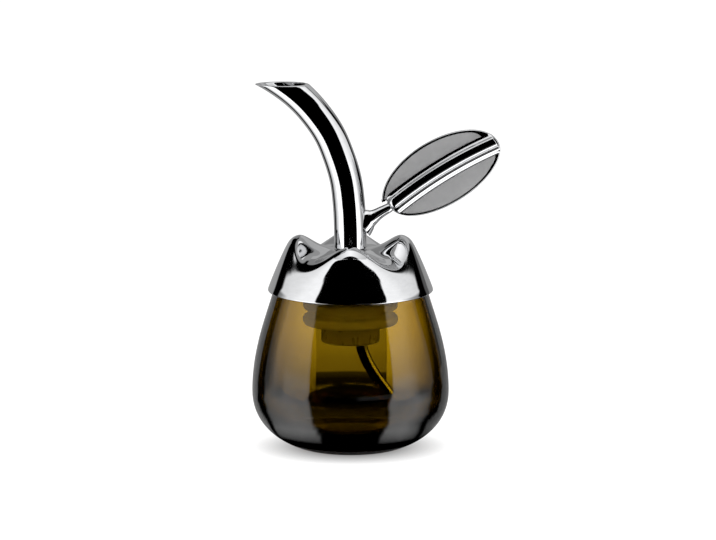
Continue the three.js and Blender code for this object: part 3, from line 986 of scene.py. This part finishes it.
def pour_spout(material):
    """The curved tube with a level, softened mouth, a foot and a spigot."""
    path = spout_path()
    foot_top = SPOUT_FOOT_HEIGHT + SPOUT_FOOT_THICKNESS
    outer = spout_rings(path, 0, foot_top, MOUTH_HEIGHT - LIP_EDGE, SPOUT_STEPS)
    bore = spout_rings(path, SPOUT_WALL, foot_top, MOUTH_HEIGHT - LIP_EDGE, SPOUT_STEPS)
    lip = []
    for k in range(1, 2 * ROUND_STEPS):
        turn = math.pi * k / (2 * ROUND_STEPS)
        across = 0.5 - 0.5 * math.cos(turn)
        height = MOUTH_HEIGHT - LIP_EDGE * (1 - math.sin(turn))
        outside = spout_rings(path, 0, foot_top, height, 1)[1]
        inside = spout_rings(path, SPOUT_WALL, foot_top, height, 1)[1]
        lip.append([a.lerp(b, across) for a, b in zip(outside, inside)])
    foot, low, edge = SPOUT_FOOT_HEIGHT, spout_low.z, LIP_EDGE
    spigot = [level_ring(radius, height, SPOUT_SIDES) for radius, height in (
        (SPIGOT_BORE, foot_top), (SPIGOT_BORE, low + edge), (SPIGOT_BORE + edge, low),
        (SPIGOT_RADIUS - edge, low), (SPIGOT_RADIUS, low + edge), (SPIGOT_RADIUS, foot),
        (SPOUT_FOOT_RADIUS - edge, foot), (SPOUT_FOOT_RADIUS, foot + edge),
    )]
    shape = skin(outer + lip + bore[::-1] + spigot, True)
    piece = mesh_piece("spout_tube", shape, [material], "closure", "pour_spout")
    sharpen(piece, 40)
    return piece


# Leaf
def on_leaf(x, out, z):
    """A point of the leaf, from its length, its thickness and its width, in the row frame."""
    return Vector((
        LEAF_OFFSET + x * math.cos(LEAF_PITCH) - z * math.sin(LEAF_PITCH),
        out,
        LEAF_HEIGHT + x * math.sin(LEAF_PITCH) + z * math.cos(LEAF_PITCH),
    ))


def leaf_outline():
    """Points (x, z) round the blade and the extra width of the polished rim at each."""
    upper = (LEAF_LENGTH + LEAF_UPPER_OVERHANG) / 2
    lower = (LEAF_LENGTH - LEAF_LOWER_INSET) / 2
    beside_stalk = math.pi - math.asin(LEAF_NOTCH / LEAF_UPPER_WIDTH)
    points, rims = [], []

    def add(turn, half, width, rim, tip):
        points.append(Vector((LEAF_LENGTH - half + half * math.cos(turn), width * math.sin(turn))))
        rims.append(LEAF_RIM + rim * (1 - ease(tip)))

    for i in range(LEAF_STEPS):
        turn = beside_stalk * i / (LEAF_STEPS - 1)
        add(turn, upper, LEAF_UPPER_WIDTH, LEAF_TIP_RIM, turn / LEAF_TIP_TURN)
    points.append(Vector((LEAF_LOWER_INSET, LEAF_NOTCH)))
    rims.append(LEAF_RIM)
    for i in range(LEAF_STEPS):
        turn = math.pi + math.pi * i / LEAF_STEPS
        tip = (2 * math.pi - turn) / LEAF_LOWER_TIP_TURN
        add(turn, lower, LEAF_LOWER_WIDTH, LEAF_LOWER_TIP_RIM, tip)
    return points, rims


def drawn_in(points, amounts):
    """An outline moved inwards by an amount at each point."""
    count = len(points)
    out = []
    for i, point in enumerate(points):
        along = points[(i + 1) % count] - points[i - 1]
        inward = Vector((-along.y, along.x)).normalized()
        out.append(point + inward * amounts[i])
    return out


def leaf_blade(metal, satin):
    """The plate with a rounded edge, a polished rim and a satin field sunk a little on each side."""
    outline, rims = leaf_outline()
    half = LEAF_THICKNESS / 2
    rows = []
    for k in range(2 * ROUND_STEPS + 1):
        turn = math.pi * (k / (2 * ROUND_STEPS) - 0.5)
        flat = half - LEAF_EDGE
        out = math.copysign(flat, turn) + LEAF_EDGE * math.sin(turn) if k != ROUND_STEPS else 0
        rows.append((LEAF_TRIM + LEAF_EDGE * (1 - math.cos(turn)), out))
    front = []
    for rim, depth in ((LEAF_EDGE, 0), (LEAF_EDGE + LEAF_RECESS, LEAF_RECESS)):
        front.append(([rim + extra for extra in rims], half - depth))
    loops = [(amounts, -out) for amounts, out in front[::-1]]
    loops += [([inset] * len(outline), out) for inset, out in rows] + front
    rings = [[on_leaf(p.x, out, p.y) for p in drawn_in(outline, amounts)] for amounts, out in loops]
    piece = mesh_piece("leaf_plate", capped(rings), [metal, satin], "closure", "leaf_blade")
    for face in piece.data.polygons:
        if len(face.vertices) > 4:
            face.material_index = 1
    sharpen(piece, 30)
    return piece


def leaf_reach(station, side):
    """How far the blade reaches from its axis at a distance from the stalk, above or below the axis."""
    overhang, width = ((LEAF_UPPER_OVERHANG, LEAF_UPPER_WIDTH) if side > 0
                       else (-LEAF_LOWER_INSET, LEAF_LOWER_WIDTH))
    half = (LEAF_LENGTH + overhang) / 2
    along = min(max((station - (LEAF_LENGTH - half)) / half, -1), 1)
    return width * math.sqrt(1 - along * along) - RIB_TRIM


def leaf_rib(name, node, side, material):
    """A midrib with hollow feet, a rounded root and a blunt tip, kept on the blade."""
    length = LEAF_LENGTH - RIB_TIP_INSET
    face = LEAF_THICKNESS / 2
    lower = plane_curve(RIB_LOWER_SHARES, RIB_SIDES)
    section = plane_curve(RIB_UPPER_SHARES, RIB_SIDES) + [Vector((-p.x, p.y, 0)) for p in lower[-2::-1]]
    bend = math.pi / 4 / ROUND_STEPS
    root = [RIB_ROOT_ROUND * (1 - math.cos(bend * k)) for k in range(2 * ROUND_STEPS)]
    run = length - RIB_ROOT_ROUND - RIB_EDGE
    middle = [RIB_ROOT_ROUND + run * i / RIB_STEPS for i in range(RIB_STEPS + 1)]
    tip = [length - RIB_EDGE * (1 - math.sin(2 * bend * k)) for k in range(1, ROUND_STEPS + 1)]
    rings = []
    for station in root + middle + tip:
        t = station / length
        rise = 4 * RIB_ARCH * t * (1 - t)
        scale = 1
        if station < RIB_ROOT_ROUND:
            scale = math.sqrt(max(1 - (1 - station / RIB_ROOT_ROUND) ** 2, RIB_ROOT_END))
        drop = 0
        if station > length - RIB_EDGE:
            part = (station - (length - RIB_EDGE)) / RIB_EDGE
            drop = RIB_EDGE * (1 - math.sqrt(max(1 - part * part, 0)))
        ring = []
        for point in section:
            width = point.x * (RIB_WIDTH / 2) * blend(RIB_ROOT_SHARE, 1, scale)
            depth = max(point.y * RIB_DEPTH - drop, 0) * scale
            upper = rise + width
            upper = min(upper, max(leaf_reach(station, 1), RIB_TRIM))
            upper = max(upper, -max(leaf_reach(station, -1), RIB_TRIM))
            ring.append(on_leaf(station, side * (face + depth), upper))
        rings.append(ring)
    shape = capped(rings)
    piece = mesh_piece(name, shape, [material], "closure", node)
    sharpen(piece, 50)
    return piece


def leaf_stalk(material):
    """The horn between the spout and the leaf, let into the spout's wall."""
    rise = LEAF_RISE - STALK_ROOT_RISE
    path = Path(smooth_curve(
        [Vector((out * LEAF_OFFSET, 0, STALK_ROOT_HEIGHT + up * rise)) for out, up in STALK_PATH_SHARES],
        CURVE_SAMPLES,
    ))
    widths = plane_curve(enumerate(STALK_WIDTH_SHARES), CURVE_SAMPLES)
    rings = []
    for i in range(STALK_STEPS + 1):
        share = i / STALK_STEPS
        width = widths[round(share * (len(widths) - 1))].y
        across = blend(STALK_TIP_RADIUS, STALK_ROOT_RADIUS, width)
        out = blend(STALK_TIP_RADIUS, STALK_ROOT_DEPTH, width) / across
        rings.append(ring_at(path, share, [(a, b * out) for a, b in circle(across, STALK_SIDES)]))
    last_centre, along = path.at(1)
    for k in range(1, ROUND_STEPS + 1):
        turn = math.pi / 2 * k / ROUND_STEPS
        narrow = max(math.cos(turn), STALK_END_SHARE)
        rings.append([
            last_centre + (p - last_centre) * narrow + along * STALK_TIP_RADIUS * math.sin(turn)
            for p in rings[STALK_STEPS]
        ])
    spout = spout_path()
    for ring in rings:
        for point in ring:
            push_out(point, spout)
    shape = capped(rings)
    return mesh_piece("leaf_horn", shape, [material], "closure", "leaf_stalk")


def push_out(point, spout):
    """Moves a point that lies deep inside the spout out to just under its skin."""
    shares = (i / SEARCH_STEPS for i in range(SEARCH_END))
    share = min(shares, key=lambda s: (point - spout.at(s)[0]).length)
    nearest, _ = spout.at(share)
    limit = spout_radius(share) - STALK_SINK
    away = point - nearest
    if away.length < limit:
        away.x = max(away.x, MM)
        point += away.normalized() * limit - (point - nearest)


# Studio
def round_about(azimuth, distance, height):
    """A place at an azimuth in degrees from the camera's side towards the leaf's side."""
    turn = math.radians(azimuth)
    return Vector((distance * math.sin(turn), -distance * math.cos(turn), height))


def camera():
    data = bpy.data.cameras.new("camera")
    data.sensor_width = SENSOR_WIDTH
    data.lens = SENSOR_WIDTH * CAMERA_DISTANCE / VIEW_WIDTH
    data.clip_start, data.clip_end = CLIP_RANGE
    thing = bpy.data.objects.new("camera", data)
    back = Vector((0, -math.cos(CAMERA_ELEVATION), math.sin(CAMERA_ELEVATION)))
    thing.location = CAMERA_AIM + back * CAMERA_DISTANCE
    thing.rotation_mode = "QUATERNION"
    thing.rotation_quaternion = (-back).to_track_quat("-Z", "Y")
    bpy.context.collection.objects.link(thing)
    bpy.context.scene.camera = thing


def grid_sheet(name, firsts, seconds, place, glow, mirrors=False, matt=False, glass=False):
    """A glowing sheet over a grid of two coordinates, from functions that give places and brightness.

    It is never seen directly, only in mirrors, by matt surfaces or through the glass, as asked for.
    """
    columns = len(firsts)
    points = [place(a, b) for b in seconds for a in firsts]
    faces = []
    for i in range(len(seconds) - 1):
        for j in range(columns - 1):
            k = i * columns + j
            faces.append((k, k + 1, k + columns + 1, k + columns))
    finish = Finish(name)
    level = finish.add("ShaderNodeAttribute", attribute_name="glow")
    light = finish.add("ShaderNodeEmission", {"Strength": level.outputs["Fac"]})
    finish.link(light.outputs["Emission"], finish.output.inputs["Surface"])
    thing = stage_mesh(name, (points, faces), finish.material)
    values = thing.data.attributes.new("glow", "FLOAT", "POINT")
    for value, level in zip(values.data, (glow(a, b) for b in seconds for a in firsts)):
        value.value = level
    thing.visible_camera = thing.visible_shadow = False
    thing.visible_glossy, thing.visible_diffuse, thing.visible_transmission = mirrors, matt, glass


def spread(start, end, steps):
    """Evenly spaced values from start to end."""
    return [start + (end - start) * i / steps for i in range(steps + 1)]


def past(value, limit, width):
    """Zero before a limit, one after it, with a soft edge of a given width."""
    return ease((value - limit) / width + 0.5)


def within(value, low, high, width):
    """One between two limits and zero beyond them, with soft edges."""
    return past(value, low, width) * past(-value, -high, width)


def blend(low, high, share):
    return low + (high - low) * share


def on_wall(azimuth, height):
    return round_about(azimuth, TENT_RADIUS, height)


def side_light(azimuth, height):
    """Brightness of the light on one side."""
    side = abs(azimuth)
    lift = (1 - past(height, FOOT_LIFT_END, LOW_EDGE)) * (1 - past(side, FOOT_LIFT_SIDE, LIFT_EDGE))
    low = read(LOW_SIDE_SHARES[azimuth > 0], side) * (1 + FOOT_LIFT * lift)
    return read(SIDE_GLOWS, side) * blend(low, 1, past(height, LOW_SIDE_END, LOW_EDGE))


def wall_glow(azimuth, height):
    """Brightness of the wall round the object: black screen, side lights, black gaps and panels behind."""
    side = abs(azimuth)
    glow = 0
    for left, right, low, high, level in BACK_PANELS:
        cover = within(azimuth, left, right, PANEL_EDGE) * within(height, low, high, PANEL_END_EDGE)
        glow = blend(glow, level, cover)
    start, end = read(SCREEN_EDGES[azimuth > 0], height), read(SIDE_ENDS[azimuth > 0], height)
    lit = past(side, start, SCREEN_EDGE) * past(-side, -end, PANEL_EDGE)
    return blend(glow, side_light(azimuth, height), lit)


def on_ceiling(x, y):
    return Vector((x, y, TENT_HEIGHT))


def ceiling_glow(x, y):
    """Brightness of the ceiling: lit over the front, grey behind, with a black patch behind on the left."""
    right = past(x, CEILING_STEP, PATCH_EDGE)
    behind = past(y, blend(CEILING_LEFT_END, CEILING_RIGHT_END, right), LOW_EDGE)
    patch = past(math.hypot(x, y), PATCH_START, PATCH_EDGE) * past(-x, -PATCH_SIDE, PATCH_EDGE)
    screen = past(y, ARCH_APEX - ARCH_BEND * x * x, ARCH_EDGE)
    lit = CEILING_GLOW * (1 - CEILING_FADE * abs(x) / TENT_RADIUS)
    return blend(lit, CEILING_BACK_GLOW * (1 - patch), behind) * screen


def on_table(azimuth, distance):
    return round_about(azimuth, distance, SHEET_LIFT)


def table_glow(azimuth, distance):
    """Brightness of the table: black wedge in front, lit sides, dark gaps and a painted shadow by the vessel."""
    side = abs(azimuth)
    hand = azimuth > 0
    gap_start = read(GAP_STARTS[hand], distance)
    level, slope = TABLE_SLOPES[hand]
    near = min(level + slope * max(gap_start - side, 0), TABLE_BRIGHTEST)
    glow = blend(near, side_light(azimuth, 0), past(distance, TABLE_FAR, FAR_EDGE))
    glow *= past(-side, -gap_start, GAP_EDGE)
    glow = blend(glow, TABLE_BACK_GLOWS[hand], past(side, read(GAP_ENDS[hand], distance), GAP_EDGE))
    glow *= past(side, read(WEDGE_ANGLES[hand], distance), WEDGE_EDGE)
    start, left, right, grey = FAR_WEDGE
    grey *= past(distance, start, LOW_EDGE)
    grey *= past(azimuth, left, GAP_EDGE) * past(-azimuth, -right, WEDGE_EDGE)
    # The last factor is a painted contact shadow: black close round the vessel.
    return max(glow, grey) * past(distance, PAINTED_SHADOW_RADIUS, NEAR_EDGE)


def under_foot(azimuth, distance):
    return round_about(azimuth, distance, FOOT_SHEET_LIFT)


def unlit(*_):
    return 0


def inner_sky(*_):
    return INNER_CEILING_GLOW


def on_backdrop(x, z):
    return Vector((x * MM, BACKDROP_PLACE, z * MM))


def backdrop_glow(x, z):
    """Brightness of the sheet behind the object that only the glass shows."""
    left, right = BACKDROP_MIDDLE
    up = BACKDROP_UP_LEFT if x < left else BACKDROP_UP_MIDDLE if x < right else BACKDROP_UP_RIGHT
    return read(BACKDROP_ACROSS, x) * read(up, z)


def backdrop():
    across = [x for x, _ in BACKDROP_ACROSS]
    heights = sorted({z for z, _ in BACKDROP_UP_LEFT + BACKDROP_UP_MIDDLE + BACKDROP_UP_RIGHT})
    grid_sheet("backdrop", across, heights, on_backdrop, backdrop_glow, glass=True)


def read(table, place):
    """A value read from a table of (place, value) rows, straight between them and level beyond them."""
    place = max(place, table[0][0])
    for (low, a), (high, b) in zip(table, table[1:]):
        if place <= high:
            return a + (b - a) * (place - low) / (high - low)
    return table[-1][1]


def stage_mesh(name, shape, material):
    """A mesh of the studio, which is not part of the object."""
    thing = new_thing(name, shape)
    thing.data.materials.append(material)
    return thing


def world():
    made = bpy.data.worlds.new("studio")
    bpy.context.scene.world = made
    sky = Nodes(made, "ShaderNodeOutputWorld")
    unseen, seen = (
        sky.add("ShaderNodeBackground", {"Color": (1, 1, 1, 1), "Strength": strength})
        for strength in (AMBIENT, 1)
    )
    sky.show(unseen.outputs["Background"], seen.outputs["Background"])


def floor():
    """A white floor that keeps the object's soft shadow, and whose glow is dimmed close round the vessel as a
    painted contact shadow.
    """
    finish = Finish("floor")
    plain, pale = (
        finish.add("ShaderNodeBsdfDiffuse", {"Color": (grey, grey, grey, 1)})
        for grey in (FLOOR_GREY, FLOOR_SEEN_GREY)
    )
    distance = finish.add("ShaderNodeVectorMath", {0: finish.place}, operation="LENGTH").outputs["Value"]
    # Painted contact shadow: the glow rises from its darkest near the vessel to full further out.
    near = finish.between(distance, PAINTED_FLOOR_SHADOW_DARKEST[0], 1, *PAINTED_FLOOR_SHADOW_SEEN)
    far = finish.between(distance, PAINTED_FLOOR_SHADOW_DARKEST[1], 1, *PAINTED_FLOOR_SHADOW_MIRRORED)
    camera_ray = finish.add("ShaderNodeLightPath").outputs["Is Camera Ray"]
    choice = finish.add("ShaderNodeMix", {"Factor": camera_ray, "A": far, "B": near}, data_type="FLOAT")
    glow = finish.add("ShaderNodeEmission", {"Strength": choice.outputs["Result"]})
    both = finish.add("ShaderNodeAddShader", {0: pale.outputs["BSDF"], 1: glow.outputs["Emission"]})
    finish.show(plain.outputs["BSDF"], both.outputs["Shader"])
    half = FLOOR_SIZE / 2
    points = [Vector((x, y, 0)) for x, y in ((-half, -half), (half, -half), (half, half), (-half, half))]
    stage_mesh("floor", (points, [(0, 1, 2, 3)]), finish.material)


def tent():
    """Walls, ceiling and table top as mirrors show them. The lit ones also light matt surfaces."""
    heights = spread(SHEET_LIFT, TENT_HEIGHT, WALL_ROWS)
    for name, start, end, matt in (
        ("front_wall", -FRONT_END, FRONT_END, False),
        ("left_wall", -SIDE_END, -FRONT_END, True),
        ("right_wall", FRONT_END, SIDE_END, True),
        ("left_back_wall", -180, -SIDE_END, False),
        ("right_back_wall", SIDE_END, 180, False),
    ):
        grid_sheet(
            name, spread(start, end, end - start), heights, on_wall, wall_glow, mirrors=True, matt=matt
        )
    across = spread(-TENT_RADIUS, TENT_RADIUS, 2 * CEILING_ROWS)
    front = spread(-TENT_RADIUS, 0, CEILING_ROWS)
    behind = spread(0, TENT_RADIUS, CEILING_ROWS)
    grid_sheet("ceiling", across, front, on_ceiling, ceiling_glow, mirrors=True, matt=True)
    grid_sheet("back_ceiling", across, behind, on_ceiling, ceiling_glow, mirrors=True)
    distances = spread(APRON_START, TENT_RADIUS, TABLE_ROWS)
    grid_sheet("table_top", spread(-180, 180, TABLE_SIDES), distances, on_table, table_glow, mirrors=True)


def inner_front_glow(_, height):
    return INNER_FRONT_GLOW * past(height, INNER_FRONT_START, FAR_EDGE)


def inner_side_glow(azimuth, height):
    return INNER_GLOWS[azimuth > 0] * past(height, INNER_SIDE_START, INNER_SIDE_EDGE)


def inner_tent():
    """What the glass shows apart from the backdrop: black, but for lights at the sides and in front."""
    heights = spread(SHEET_LIFT, TENT_HEIGHT, INNER_ROWS)
    ends, around = (SHEET_LIFT, TENT_HEIGHT), spread(-180, 180, INNER_SIDES)
    front = spread(-FRONT_END, FRONT_END, INNER_ROWS)
    left = spread(-INNER_SIDE_END, -FRONT_END, INNER_ROWS // 2)
    right = spread(FRONT_END, INNER_SIDE_END, INNER_ROWS // 2)
    behind = spread(INNER_SIDE_END, 360 - INNER_SIDE_END, INNER_SIDES // 2)
    square = (-TENT_RADIUS, TENT_RADIUS)
    for name, firsts, seconds, place, glow in (
        ("inner_front", front, heights, on_wall, inner_front_glow),
        ("inner_left", left, heights, on_wall, inner_side_glow),
        ("inner_right", right, heights, on_wall, inner_side_glow),
        ("inner_back", behind, ends, on_wall, unlit),
        ("inner_table", around, (APRON_START, TENT_RADIUS), on_table, unlit),
        # A black disc under the foot, seen only through the glass: painted shade under the vessel.
        ("inner_foot", around, (0, APRON_START), under_foot, unlit),
        ("inner_ceiling", square, square, on_ceiling, inner_sky),
    ):
        grid_sheet(name, firsts, seconds, place, glow, glass=True)


def studio():
    world()
    floor()
    backdrop()
    tent()
    inner_tent()


def build_part():
    metal = chrome()
    seal = seal_plastic()
    glass_body(amber_glass())
    stopper_seal(seal)
    stopper_core(plug_plastic())
    air_tube(tube_steel())
    cap_washer(seal)
    cap_shell(metal)
    pour_spout(metal)
    leaf_blade(metal, satin_metal())
    leaf_rib("rib_front", "leaf_rib_front", -1, metal)
    leaf_rib("rib_back", "leaf_rib_back", 1, metal)
    leaf_stalk(metal)


bpy.context.scene.view_settings.view_transform = "Standard"
camera()
build_part()
studio()
